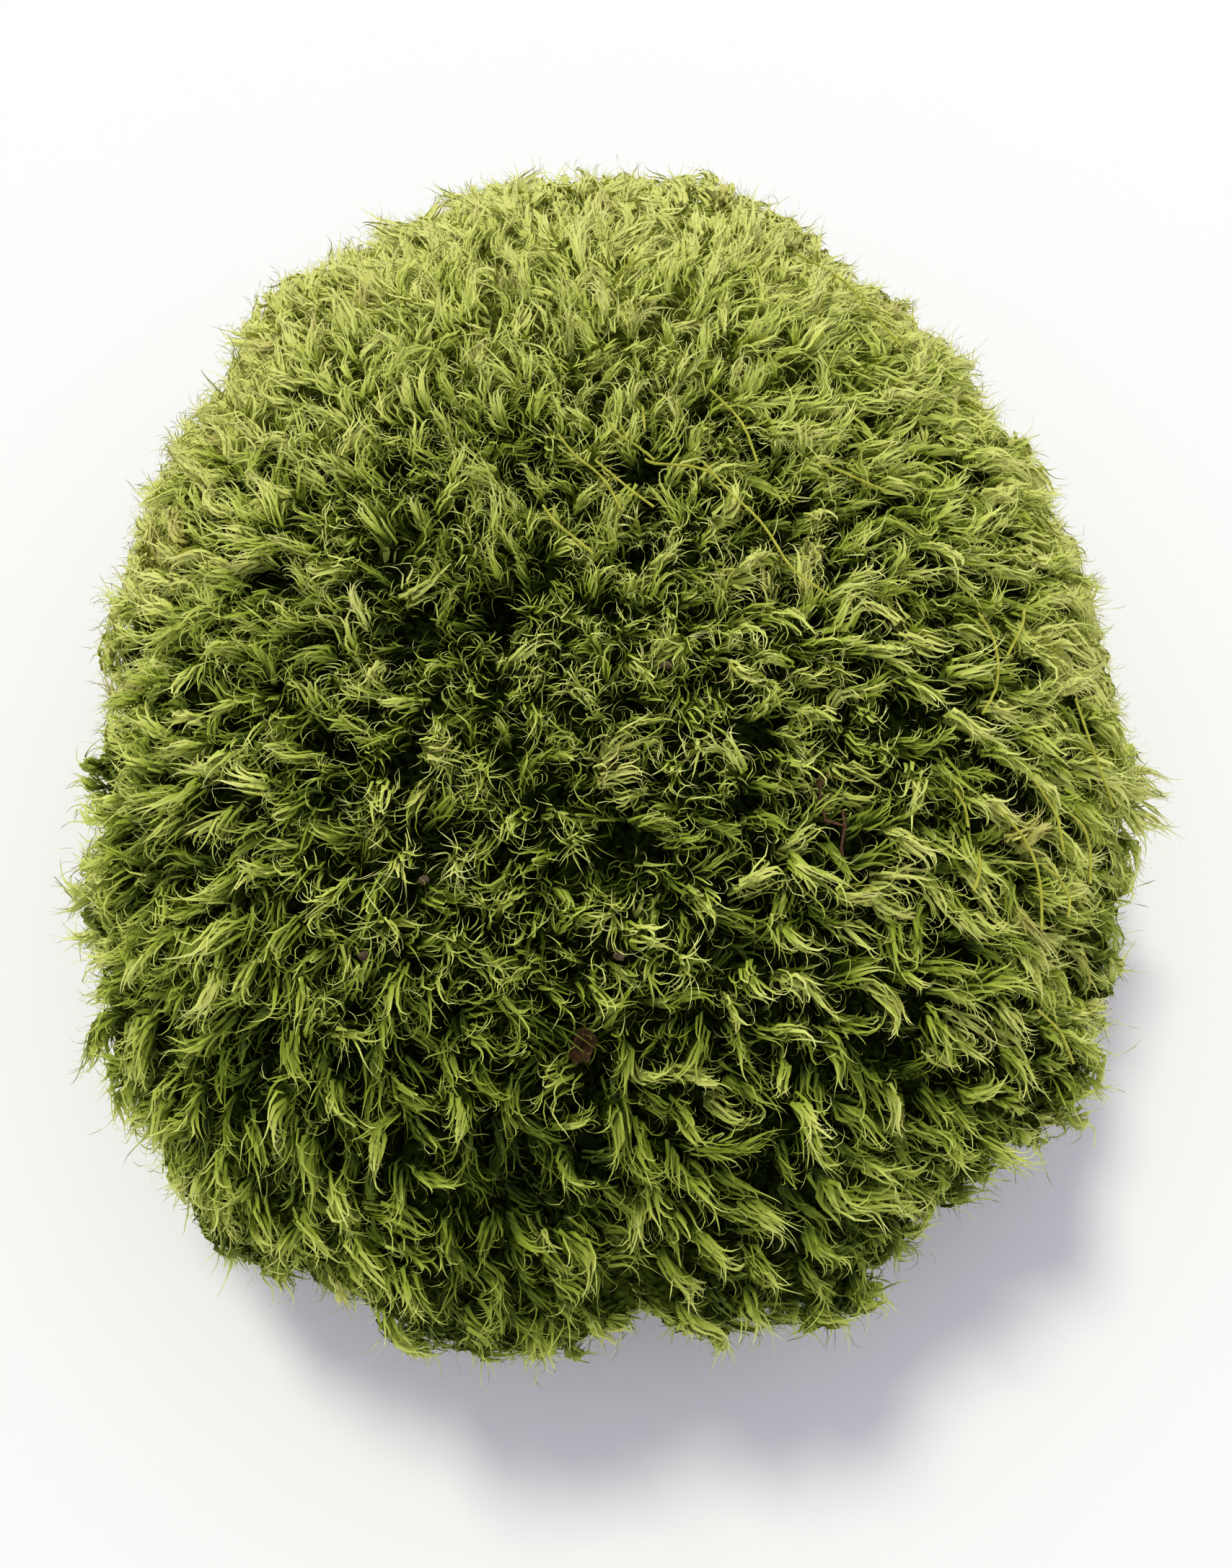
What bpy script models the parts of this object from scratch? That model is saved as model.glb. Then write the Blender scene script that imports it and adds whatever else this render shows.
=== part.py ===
"""A clump of cushion moss, resting on the flat cut where it grew on the ground.

Metres, +Z up. The origin is on the ground, under the middle of the clump's box. The blunt end of
the clump looks to -Y and its longer, narrower end to +Y. The moss grew as one mass, so it is one
solid: every leafy shoot is a leaning point of its surface, with a valley all round it. Old
fruiting stalks, a scrap of dead leaf and a dry sprig lie on it as pieces of their own.

A place on the clump is given as (turn, fall) in degrees: turn goes round from +X to +Y, and fall
is 0 at the crown, 90 at the waist and past 90 where the side curves under.
"""
import math

import bmesh
import bpy
import numpy as np
from mathutils import Vector
from mathutils.bvhtree import BVHTree

# The bun that the leaf tips reach
MEAN_RADIUS = 0.080
HEIGHT = 0.068
WAIST_HEIGHT = 0.024
FOOT_SHARE = 0.72        # the flat cut's radius over the waist's
FULLNESS = 0.95          # 1 is an ellipse's profile, less is fuller
EGG = 0.187              # the back reaches further out than the front
LENGTHEN = 0.123         # longer along Y than wide
BACK_TAPER = 0.050
SIDE_LEAN = 0.020
CROWN = (-0.00187, -0.01856)   # the crown's place over the ground

# Shoots
SHOOT_COUNT = 1120
RIM_COUNT = 64           # corners of the flat cut
SEED = 11
SETTLE_STEPS = 40
SHOOT_REACH = 0.0074     # nearer than this, two shoots crowd each other
SETTLE_RATE = 0.0011
LAST_FALL = 130.0        # degrees, the lowest row of shoots
VALLEY_DEPTH = 0.0048
LEAN = 0.0027            # how far a shoot's tip hangs over to its side
LEAN_SPREAD = 0.25       # of the lean, either way
SHORTFALL = 0.0016       # the most that a tip stays short of the bun
LOWEST_TIP = 0.0012
LUMP_HEIGHT = 0.0011
LUMP_LENGTH = 0.034
DRIFT = (0.30, -0.12)    # all shoots hang over a little this way as well
DROOP = 0.9              # and the shoots on the sides hang down
DROOP_FROM = 0.040       # in full at this distance from the crown
UPRIGHT_WITHIN = 0.008   # and next to the crown they hardly lean
LEAST_SWEEP = 0.5
GROUND = 0.001           # millimetres, corners lower than this are on the flat cut

# Hollows between the shoots: (turn, fall, radius, depth)
HOLLOWS = (
    (162, 8, 0.0034, 0.0065),
    (183, 15, 0.0034, 0.0055),
    (110, 14, 0.0028, 0.0040),
    (37, 16, 0.0036, 0.0060),
    (204, 25, 0.0034, 0.0045),
    (233, 22, 0.0032, 0.0045),
    (276, 21, 0.0032, 0.0045),
    (295, 30, 0.0028, 0.0035),
    (334, 36, 0.0026, 0.0040),
    (208, 42, 0.0036, 0.0050),
    (202, 54, 0.0040, 0.0030),
    (231, 49, 0.0040, 0.0045),
    (237, 61, 0.0040, 0.0045),
    (262, 54, 0.0050, 0.0040),
    (306, 48, 0.0036, 0.0060),
    (336, 66, 0.0036, 0.0035),
    (271, 74, 0.0042, 0.0045),
    (269, 37.5, 0.0042, 0.0030),
    (324, 24, 0.0045, 0.0022),
)
# Shoots that stand out from the rest: (turn, fall, radius, height)
SPURS = (
    (357.7, 82, 0.0042, 0.0052),
    (351, 86, 0.0036, 0.0028),
    (198, 78, 0.0036, 0.0030),
)
# Wide swells and dips of its outline: (turn, fall, radius, height)
SWELLS = (
    (163, 72, 0.010, 0.0022),
    (180, 66, 0.008, -0.0036),
    (191, 72, 0.008, -0.0034),
    (221, 81, 0.010, 0.0024),
    (229, 79, 0.008, -0.0036),
    (294, 89, 0.010, 0.0024),
    (323, 83, 0.012, 0.0026),
)
# Lobes and notches that run down its side: (turn, half width in degrees, height)
LOBES = (
    (14, 4, 0.0012),
    (26, 4, 0.0008),
    (43, 6, -0.0012),
    (64, 4, -0.0012),
    (81, 6, 0.0030),
    (99, 5, 0.0011),
    (113, 4, -0.0014),
    (126, 3.5, 0.0015),
    (134, 4, -0.0026),
    (172, 3.5, -0.0032),
    (180, 3, 0.0028),
    (187, 2.5, -0.0016),
    (196, 4, 0.0016),
    (208, 4.5, -0.0024),
    (221, 3.5, -0.0036),
    (231, 3.5, 0.0026),
    (247.5, 3, -0.0018),
    (254, 3.5, 0.0015),
    (270, 3, 0.0015),
    (274.5, 3.5, -0.0030),
    (293, 3.5, 0.0040),
    (303.5, 4, -0.0023),
    (315.5, 3.5, -0.0032),
    (330, 3, -0.0026),
    (342, 3, -0.0020),
    (356, 3, 0.0012),
)
LOBES_FROM, LOBES_TO = 44.0, 122.0   # degrees of fall
LOBES_FADE = 12.0

# Stalks: the places that each one passes over, then its lift over the leaf tips
STALK_RADIUS = 0.00016
STALK_STEP = 0.0019
FINE_STEP = 0.0004
CROSSING_LIFT = 0.0009
STALKS = (
    (((99.5, 12.7), (95.9, 10.8), (90.4, 9.6), (85.0, 8.5), (78.4, 7.0)), 0.0),
    (((89.7, 9.9), (80.6, 8.6), (72.9, 8.1), (64.7, 8.0)), CROSSING_LIFT),
    (((111.5, 7.7), (109.6, 6.1), (102.1, 4.7), (90.2, 3.5)), 0.0),
    (((86.4, 13.6), (83.4, 12.6), (78.5, 12.1), (72.5, 11.6)), 0.0),
    (((74.7, 10.9), (71.6, 10.9), (63.0, 12.2), (57.9, 13.0), (54.8, 13.3)), CROSSING_LIFT),
    (((60.5, 13.9), (48.1, 14.0), (35.7, 15.2), (26.5, 15.9), (18.0, 16.8), (9.2, 19.7)), 0.0),
    (((79.6, 15.6), (78.4, 14.3), (77.4, 13.2)), 0.0),
    (((40.7, 23.7), (36.4, 25.8), (31.6, 28.7)), 0.0),
    (((67.9, 19.9), (59.0, 19.2), (50.0, 17.7)), 0.0),
    (((7.3, 36.2), (4.0, 37.5), (0.0, 37.9), (354.9, 37.3), (349.4, 35.4)), 0.0),
    (((8.6, 42.2), (6.0, 41.4), (2.6, 39.6), (0.0, 38.4)), CROSSING_LIFT),
    (((358.5, 50.1), (354.1, 52.2), (350.0, 55.4), (347.7, 58.2)), 0.0),
    (((343.8, 43.2), (342.5, 45.3), (340.9, 47.5), (337.7, 49.6)), 0.0),
    (((341.9, 48.1), (341.6, 50.6), (339.7, 52.6), (336.3, 54.1)), CROSSING_LIFT),
    (((337.5, 39.0), (335.8, 43.5), (333.8, 46.4), (331.1, 48.6), (328.1, 50.7)), 0.0),
    (((333.8, 46.4), (333.9, 49.0), (332.9, 51.6), (331.1, 52.5)), CROSSING_LIFT),
    (((335.9, 34.2), (334.4, 35.9), (332.1, 37.1)), 0.0),
    (((330.2, 39.2), (327.9, 40.4), (325.4, 40.9)), 0.0),
    (((321.7, 56.7), (322.5, 62.2), (321.9, 67.7)), 0.0),
    (((68.5, 45.8), (62.0, 46.7), (51.4, 44.1)), 0.0),
)

# Dead leaf: a curled scrap
DEAD_LEAF_PLACE = (269, 37.5)
DEAD_LEAF_LENGTH = 0.0032
DEAD_LEAF_WIDTH = 0.0023
DEAD_LEAF_CURL = 0.0012
DEAD_LEAF_THICKNESS = 0.00024
DEAD_LEAF_SKEW = 0.0003
DEAD_LEAF_ROWS = 7
DEAD_LEAF_COLUMNS = 5

# Dry sprig: the places of its joints, and which of them each twig joins
SPRIG_JOINTS = (
    (324.4, 23.6), (321.9, 24.6), (319.6, 26.0), (320.8, 27.6), (317.9, 28.9), (315.9, 30.4),
    (324.6, 22.9), (328.3, 23.5), (323.6, 26.6),
)
SPRIG_TWIGS = ((0, 1), (1, 2), (2, 3), (3, 4), (4, 5), (0, 6), (0, 7), (3, 8))
SPRIG_RADIUS = 0.00017
TWIG_SIDES = 6
TWIG_TAPER = 0.7         # the end's radius over the start's
TWIG_OVERLAP = 1.0       # how far a twig starts inside the one before it, in radii

GAP = 0.0003
LIFT_STEP = 0.0001
DROP_FROM = 0.008
LEAST_HEIGHT = -0.004
PROBE_STEPS = 5


def plan_radius(turn):
    """Radius of the waist, seen from above, in the direction turn."""
    egg = EGG * np.sin(turn) - LENGTHEN * np.cos(2 * turn)
    return MEAN_RADIUS * (1 + egg + SIDE_LEAN * np.cos(3 * turn) - BACK_TAPER * np.sin(3 * turn))


def bun(turn, fall):
    """Points of the smooth bun, for angles in radians."""
    out = plan_radius(turn) * np.sin(fall) ** FULLNESS
    drop = np.cos(fall)
    under = WAIST_HEIGHT / math.sqrt(1 - FOOT_SHARE ** 2)
    over = (HEIGHT - WAIST_HEIGHT) * np.abs(drop) ** FULLNESS
    height = WAIST_HEIGHT + np.where(drop > 0, over, under * drop)
    return np.stack([CROWN[0] + out * np.cos(turn), CROWN[1] + out * np.sin(turn), height], axis=-1)


def onto_bun(points):
    """The (turn, fall) of the bun's points nearest to these, close enough for small moves."""
    across, along = points[:, 0] - CROWN[0], points[:, 1] - CROWN[1]
    turn = np.arctan2(along, across)
    out = (np.hypot(across, along) / plan_radius(turn)) ** (1 / FULLNESS)
    rise = points[:, 2] - WAIST_HEIGHT
    under = WAIST_HEIGHT / math.sqrt(1 - FOOT_SHARE ** 2)
    over = np.abs(rise / (HEIGHT - WAIST_HEIGHT)) ** (1 / FULLNESS)
    return turn, np.arctan2(out, np.where(rise > 0, over, rise / under))


def bun_normal(turn, fall):
    """Outward unit normals of the bun."""
    small = 1e-4
    round_it = bun(turn + small, fall) - bun(turn - small, fall)
    down_it = bun(turn, fall + small) - bun(turn, np.maximum(fall - small, 1e-6))
    normal = np.cross(down_it, round_it)
    return normal / np.linalg.norm(normal, axis=-1, keepdims=True)


def foot_fall():
    """The fall angle at which the bun meets the ground, in radians."""
    return math.pi - math.acos(math.sqrt(1 - FOOT_SHARE ** 2))


def place(turn_degrees, fall_degrees):
    """A point of the bun and its normal there."""
    turn, fall = np.radians([turn_degrees]), np.radians([fall_degrees])
    return bun(turn, fall)[0], bun_normal(turn, fall)[0]


def scatter_shoots(rng):
    """Draws the shoots' angles evenly over the bun's area."""
    turns = np.radians(np.arange(0.5, 360, 1))
    falls = np.radians(np.arange(0.5, LAST_FALL, 1))
    turn, fall = (grid.ravel() for grid in np.meshgrid(turns, falls))
    small = 1e-4
    round_it = bun(turn + small, fall) - bun(turn - small, fall)
    down_it = bun(turn, fall + small) - bun(turn, fall - small)
    area = np.linalg.norm(np.cross(round_it, down_it), axis=1)
    chosen = rng.choice(len(area), SHOOT_COUNT, replace=False, p=area / area.sum())
    return turn[chosen], fall[chosen]


def settle_shoots(turn, fall, rim):
    """Lets the shoots push each other apart until they stand about evenly."""
    for _ in range(SETTLE_STEPS):
        points = bun(turn, fall)
        away = points[:, None] - np.concatenate([points, rim])[None]
        distance = np.linalg.norm(away, axis=-1)
        np.fill_diagonal(distance, SHOOT_REACH)
        crowding = np.clip(1 - distance / SHOOT_REACH, 0, None) / (distance + 1e-9)
        points = points + SETTLE_RATE * (away * crowding[..., None]).sum(axis=1)
        turn, fall = onto_bun(points)
        fall = np.minimum(fall, math.radians(LAST_FALL))
    return turn, fall


def hull_triangles(points):
    """The bun's surface as triangles between these points, without the flat cut's."""
    to_millimetres = 1000.0
    bm = bmesh.new()
    corners = [bm.verts.new(point * to_millimetres) for point in points]
    index = {corner: number for number, corner in enumerate(corners)}
    bmesh.ops.convex_hull(bm, input=corners, use_existing_faces=False)
    bmesh.ops.triangulate(bm, faces=bm.faces[:])
    bm.normal_update()
    triangles = []
    for face in bm.faces:
        if all(corner.co.z < GROUND for corner in face.verts):
            continue
        triangles.append([index[corner] for corner in face.verts])
    bm.free()
    middle = points.mean(axis=0)
    outward = []
    for a, b, c in triangles:
        normal = np.cross(points[b] - points[a], points[c] - points[a])
        outward.append((a, b, c) if normal @ (points[a] - middle) > 0 else (a, c, b))
    return outward


def bumps(points, table):
    """Height of the round bumps that a table of (turn, fall, radius, height) puts at each point."""
    height = np.zeros(len(points))
    for turn, fall, radius, most in table:
        centre, _ = place(turn, fall)
        distance = np.linalg.norm(points - centre, axis=1)
        height += most * np.exp(-(distance / radius) ** 2)
    return height


def lobes(points):
    """Height of the side's lobes and notches at each point."""
    turn, fall = (np.degrees(angle) for angle in onto_bun(points))
    height = np.zeros(len(points))
    for middle, half_width, most in LOBES:
        aside = (turn - middle + 180) % 360 - 180
        height += most * np.exp(-(aside / half_width) ** 2)
    inside = np.minimum(fall - LOBES_FROM, LOBES_TO - fall) / LOBES_FADE
    return height * np.clip(inside, 0, 1)


def lumps(points):
    """Height of the cushion's gentle swells at each point."""
    wave = points * (2 * math.pi / LUMP_LENGTH)
    swell = np.sin(wave[:, 0] + 0.7 * wave[:, 1] + 0.4) * np.cos(0.8 * wave[:, 1] - 0.5 * wave[:, 2])
    swell += 0.6 * np.sin(1.7 * wave[:, 0] - 1.3 * wave[:, 1] + 2.0)
    return LUMP_HEIGHT * swell + bumps(points, SWELLS) + lobes(points)


def sweep(points, normals):
    """The way that a shoot at each point hangs over, along the surface: outward and down."""
    out = points - np.array([CROWN[0], CROWN[1], 0.0])
    out[:, 2] = 0
    far = np.linalg.norm(out, axis=1, keepdims=True)
    way = out / (far + UPRIGHT_WITHIN)
    way[:, 0] += DRIFT[0]
    way[:, 1] += DRIFT[1]
    way[:, 2] -= DROOP * np.minimum(far[:, 0] / DROOP_FROM, 1)
    way -= normals * (way * normals).sum(axis=1, keepdims=True)
    length = np.linalg.norm(way, axis=1, keepdims=True)
    return way / np.maximum(length, LEAST_SWEEP)


def cushion_shape():
    """Corners and faces of the cushion: tips, valleys between them, and the flat cut."""
    rng = np.random.default_rng(SEED)
    rim_turn = np.radians(np.arange(RIM_COUNT) * 360 / RIM_COUNT)
    rim = bun(rim_turn, np.full(RIM_COUNT, foot_fall()))
    rim[:, 2] = 0
    turn, fall = settle_shoots(*scatter_shoots(rng), rim)
    roots = bun(turn, fall)
    triangles = hull_triangles(np.concatenate([roots, rim]))

    normals = bun_normal(turn, fall)
    height = lumps(roots) - bumps(roots, HOLLOWS) + bumps(roots, SPURS)
    height -= SHORTFALL * rng.random(SHOOT_COUNT)
    lean = LEAN * (1 + LEAN_SPREAD * (2 * rng.random((SHOOT_COUNT, 1)) - 1))
    tips = roots + normals * height[:, None] + sweep(roots, normals) * lean
    tips[:, 2] = np.maximum(tips[:, 2], LOWEST_TIP)

    corners = np.concatenate([roots, rim])
    centres = np.array([corners[list(triangle)].mean(axis=0) for triangle in triangles])
    centre_normals = bun_normal(*onto_bun(centres))
    depth = VALLEY_DEPTH - lumps(centres) + bumps(centres, HOLLOWS)
    valleys = centres - centre_normals * depth[:, None]

    first_valley = len(corners)
    beside = {}
    for number, (a, b, c) in enumerate(triangles):
        for edge in ((a, b), (b, c), (c, a)):
            beside[edge] = first_valley + number
    faces = []
    for (a, b), left in beside.items():
        right = beside.get((b, a))
        if right is None:
            faces.append((a, b, left))
        elif a < b:
            faces.append((a, right, left))
            faces.append((b, left, right))
    cut = list(range(SHOOT_COUNT + RIM_COUNT - 1, SHOOT_COUNT - 1, -1))
    faces.append(cut)
    return np.concatenate([tips, rim, valleys]), faces


def make_material(name, colour, roughness):
    material = bpy.data.materials.new(name)
    material.use_nodes = True
    shader = material.node_tree.nodes["Principled BSDF"]
    shader.inputs["Base Color"].default_value = (*colour, 1.0)
    shader.inputs["Roughness"].default_value = roughness
    shader.inputs["Metallic"].default_value = 0.0
    material.diffuse_color = (*colour, 1.0)
    return material


def add_object(name, data, material):
    made = bpy.data.objects.new(name, data)
    data.materials.append(material)
    bpy.context.collection.objects.link(made)
    return made


def make_cushion(material):
    corners, faces = cushion_shape()
    mesh = bpy.data.meshes.new("moss_cushion")
    mesh.from_pydata([tuple(corner) for corner in corners], [], faces)
    bm = bmesh.new()
    bm.from_mesh(mesh)
    loose = [corner for corner in bm.verts if not corner.link_faces]
    bmesh.ops.delete(bm, geom=loose, context="VERTS")
    bmesh.ops.triangulate(bm, faces=[face for face in bm.faces if len(face.verts) > 3])
    bm.to_mesh(mesh)
    tree = BVHTree.FromBMesh(bm)
    bm.free()
    add_object("moss_cushion", mesh, material)
    return tree


def smooth_route(stations, spacing):
    """Points along a smooth curve through the stations, about this spacing apart."""
    ends = [2 * stations[0] - stations[1], *stations, 2 * stations[-1] - stations[-2]]
    route = []
    for before, start, end, after in zip(ends, ends[1:], ends[2:], ends[3:]):
        count = max(2, round(float(np.linalg.norm(end - start)) / spacing))
        for step in range(count):
            t = step / count
            bend = (2 * before - 5 * start + 4 * end - after) * t ** 2
            twist = (3 * start - before - 3 * end + after) * t ** 3
            route.append(0.5 * (2 * start + (end - before) * t + bend + twist))
    route.append(stations[-1])
    return np.array(route)


def distance_to(tree, point):
    return tree.find_nearest(Vector(point))[3]


def rest_height(tree, points, normal, clearance, least=0.0):
    """How far out along the normal the points stay when they are lowered onto the cushion."""
    height = DROP_FROM
    while height > least:
        lower = height - LIFT_STEP
        if any(distance_to(tree, point + normal * lower) < clearance for point in points):
            break
        height = lower
    return height


def lay_on_tips(stations, tree, clearance):
    """A route over the leaf tips, raised and eased as a stiff thread rests on the highest."""
    route = smooth_route(stations, STALK_STEP)
    normals = bun_normal(*onto_bun(route))
    lifts = [rest_height(tree, [point], normal, clearance) for point, normal in zip(route, normals)]
    lifts = np.array(lifts)
    for _ in range(2):
        around = np.concatenate([lifts[:1], lifts, lifts[-1:]])
        lifts = np.maximum(lifts, (around[:-2] + around[2:]) / 2)
    raised = route + normals * lifts[:, None]
    while True:
        between = smooth_route(list(raised), FINE_STEP)
        if min(distance_to(tree, point) for point in between) >= clearance:
            return raised, normals
        raised = raised + normals * LIFT_STEP


def make_stalk(name, stations, lift_more, tree, material):
    places = [place(turn, fall)[0] for turn, fall in stations]
    route, normals = lay_on_tips(places, tree, STALK_RADIUS + GAP)
    route = route + normals * lift_more
    curve = bpy.data.curves.new(name, "CURVE")
    curve.dimensions = "3D"
    curve.bevel_depth = STALK_RADIUS
    curve.bevel_resolution = 1
    curve.use_fill_caps = True
    spline = curve.splines.new("POLY")
    spline.points.add(len(route) - 1)
    for spot, point in zip(spline.points, route):
        spot.co = (*point, 1.0)
    add_object(name, curve, material)


def slope_frame(turn, fall):
    """Axes at a place on the clump: across, down the slope, and out of it."""
    point, normal = place(turn, fall)
    down = bun(np.radians([turn]), np.radians([fall + 1.0]))[0] - point
    down -= normal * (down @ normal)
    down /= np.linalg.norm(down)
    return point, np.cross(down, normal), down, normal


def make_dead_leaf(tree, material):
    origin, across, down, normal = slope_frame(*DEAD_LEAF_PLACE)
    points = []
    for row in range(DEAD_LEAF_ROWS):
        along = 2 * row / (DEAD_LEAF_ROWS - 1) - 1
        half_width = 0.5 * DEAD_LEAF_WIDTH * (1 - 0.55 * along ** 2)
        for column in range(DEAD_LEAF_COLUMNS):
            side = 2 * column / (DEAD_LEAF_COLUMNS - 1) - 1
            curl = DEAD_LEAF_CURL * (side ** 2 + 0.5 * along ** 2 + 0.35 * side * along)
            skew = DEAD_LEAF_SKEW * math.sin(3 * along)
            offset = across * (side * half_width + skew) + down * (0.5 * DEAD_LEAF_LENGTH * along)
            points.append(origin + offset + normal * curl)
    points = np.array(points)
    clearance = GAP + DEAD_LEAF_THICKNESS
    points = points + normal * rest_height(tree, points, normal, clearance, LEAST_HEIGHT)
    faces = []
    for row in range(DEAD_LEAF_ROWS - 1):
        for column in range(DEAD_LEAF_COLUMNS - 1):
            a = row * DEAD_LEAF_COLUMNS + column
            faces.append((a, a + DEAD_LEAF_COLUMNS, a + DEAD_LEAF_COLUMNS + 1, a + 1))
    mesh = bpy.data.meshes.new("dead_leaf")
    mesh.from_pydata([tuple(point) for point in points], [], faces)
    mesh.shade_smooth()
    leaf = add_object("dead_leaf", mesh, material)
    thicken = leaf.modifiers.new("thickness", "SOLIDIFY")
    thicken.thickness = DEAD_LEAF_THICKNESS
    thicken.offset = 0.0


def tapered_twig(start, end, radius):
    """A twig from start to end that narrows a little, as a mesh."""
    bm = bmesh.new()
    along = Vector(end - start)
    bmesh.ops.create_cone(
        bm, cap_ends=True, cap_tris=True, segments=TWIG_SIDES, radius1=radius,
        radius2=TWIG_TAPER * radius, depth=along.length)
    turned = along.to_track_quat("Z", "Y").to_matrix().to_4x4()
    turned.translation = Vector(start + end) / 2
    bmesh.ops.transform(bm, matrix=turned, verts=bm.verts)
    mesh = bpy.data.meshes.new("twig")
    bm.to_mesh(mesh)
    bm.free()
    return mesh


def make_dry_sprig(tree, material):
    clearance = GAP + SPRIG_RADIUS
    joints = []
    for turn, fall in SPRIG_JOINTS:
        point, normal = place(turn, fall)
        joints.append(point + normal * rest_height(tree, [point], normal, clearance, LEAST_HEIGHT))
    joints = np.array(joints)
    between = np.linspace(0, 1, PROBE_STEPS)[:, None]
    along_twigs = [joints[a] + (joints[b] - joints[a]) * between for a, b in SPRIG_TWIGS]
    _, normal = place(*SPRIG_JOINTS[0])
    joints = joints + normal * rest_height(tree, np.concatenate(along_twigs), normal, clearance)

    sprig = None
    for number, (first, last) in enumerate(SPRIG_TWIGS):
        start, end = joints[first], joints[last]
        if number > 0:
            start = start - TWIG_OVERLAP * SPRIG_RADIUS * (end - start) / np.linalg.norm(end - start)
        mesh = tapered_twig(start, end, SPRIG_RADIUS)
        if sprig is None:
            sprig = add_object("dry_sprig", mesh, material)
            continue
        part = add_object(f"twig_{number}", mesh, material)
        part.hide_render = True
        part.display_type = "WIRE"
        join = sprig.modifiers.new(f"join {number}", "BOOLEAN")
        join.operation = "UNION"
        join.object = part


def main():
    for old in list(bpy.data.objects):
        bpy.data.objects.remove(old)
    moss = make_material("moss", (0.16, 0.22, 0.03), 0.75)
    straw = make_material("straw", (0.55, 0.47, 0.16), 0.5)
    dead = make_material("dead_leaf", (0.18, 0.10, 0.06), 0.8)
    twig = make_material("twig", (0.16, 0.08, 0.05), 0.7)
    tree = make_cushion(moss)
    for number, (stations, lift_more) in enumerate(STALKS, start=1):
        make_stalk(f"stalk_{number:02d}", stations, lift_more, tree, straw)
    make_dead_leaf(tree, dead)
    make_dry_sprig(tree, twig)


main()
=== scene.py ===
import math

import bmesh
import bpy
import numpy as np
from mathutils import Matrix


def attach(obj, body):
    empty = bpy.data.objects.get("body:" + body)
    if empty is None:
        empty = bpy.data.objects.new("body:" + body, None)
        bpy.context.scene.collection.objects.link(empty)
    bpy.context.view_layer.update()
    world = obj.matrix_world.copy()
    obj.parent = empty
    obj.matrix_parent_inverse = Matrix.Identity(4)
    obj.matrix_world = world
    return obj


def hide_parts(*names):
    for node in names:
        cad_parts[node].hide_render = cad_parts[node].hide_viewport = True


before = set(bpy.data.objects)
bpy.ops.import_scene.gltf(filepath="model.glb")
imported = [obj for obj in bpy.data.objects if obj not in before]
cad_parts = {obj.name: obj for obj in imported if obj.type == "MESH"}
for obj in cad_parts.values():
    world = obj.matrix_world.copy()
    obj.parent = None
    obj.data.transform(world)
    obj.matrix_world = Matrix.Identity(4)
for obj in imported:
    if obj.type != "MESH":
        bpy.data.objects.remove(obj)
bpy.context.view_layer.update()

# The looks of the moss clump: every leaf of every shoot, the old stalks and the litter.
#
# Metres, in the frame of the solids. A place on the clump is given as (turn, fall) in degrees:
# turn goes round from +X to +Y, and fall is 0 at the crown, 90 at the waist and more where the
# side curves under. The shoots stand where the solid's points are.

# The bun that the leaf tips reach, as in the solids
MEAN_RADIUS = 0.080
HEIGHT = 0.068
WAIST_HEIGHT = 0.024
FOOT_SHARE = 0.72
FULLNESS = 0.95
EGG = 0.187
LENGTHEN = 0.123
BACK_TAPER = 0.050
SIDE_LEAN = 0.020
CROWN = (-0.00187, -0.01856)
UNDER = WAIST_HEIGHT / math.sqrt(1 - FOOT_SHARE ** 2)
SMALL_ANGLE = 1e-4       # step for the bun's slopes, in radians

# Shoots, as in the solids
SHOOT_COUNT = 1120
RIM_COUNT = 64
SEED = 11
SETTLE_STEPS = 40
SHOOT_REACH = 0.0074
SETTLE_RATE = 0.0011
LAST_FALL = 130.0
SHORTFALL = 0.0016
LUMP_HEIGHT = 0.0011
LUMP_LENGTH = 0.034
# The way that the shoots hang over besides outward and down, to X and to Y, each as the
# coefficients of 1, x, y, x * x, x * y and y * y over the clump, in spans from the crown
DRIFT = ((0.48, 0.01, -0.58, 0.12, 0.02, -0.05), (-0.25, -0.45, -0.25, 0.49, -0.14, 0.29))
DRIFT_SPAN = 0.080
DROOP = 0.9
DROOP_FROM = 0.040
UPRIGHT_WITHIN = 0.008
LEAST_SWEEP = 0.5
# Dark hollows between the shoots: (turn, fall, radius, depth)
HOLLOWS = (
    (162, 8, 0.0034, 0.0065),
    (183, 15, 0.0034, 0.0055),
    (110, 14, 0.0028, 0.0040),
    (37, 16, 0.0036, 0.0060),
    (204, 25, 0.0034, 0.0045),
    (233, 22, 0.0032, 0.0045),
    (276, 21, 0.0032, 0.0045),
    (295, 30, 0.0028, 0.0035),
    (334, 36, 0.0026, 0.0040),
    (208, 42, 0.0036, 0.0050),
    (202, 54, 0.0040, 0.0030),
    (231, 49, 0.0040, 0.0045),
    (237, 61, 0.0040, 0.0045),
    (262, 54, 0.0050, 0.0040),
    (306, 48, 0.0036, 0.0060),
    (336, 66, 0.0036, 0.0035),
    (271, 74, 0.0042, 0.0045),
    (269, 37.5, 0.0042, 0.0030),
    (324, 24, 0.0045, 0.0022),
)
# Tufts that stand out of the side: (turn, fall, radius, height)
SPURS = (
    (357.7, 82, 0.0042, 0.0052),
    (351, 86, 0.0036, 0.0028),
    (198, 78, 0.0036, 0.0030),
)
# Wide swells and dips of its outline: (turn, fall, radius, height)
SWELLS = (
    (163, 72, 0.010, 0.0022),
    (180, 66, 0.008, -0.0036),
    (191, 72, 0.008, -0.0034),
    (221, 81, 0.010, 0.0024),
    (229, 79, 0.008, -0.0036),
    (294, 89, 0.010, 0.0024),
    (323, 83, 0.012, 0.0026),
)
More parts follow.
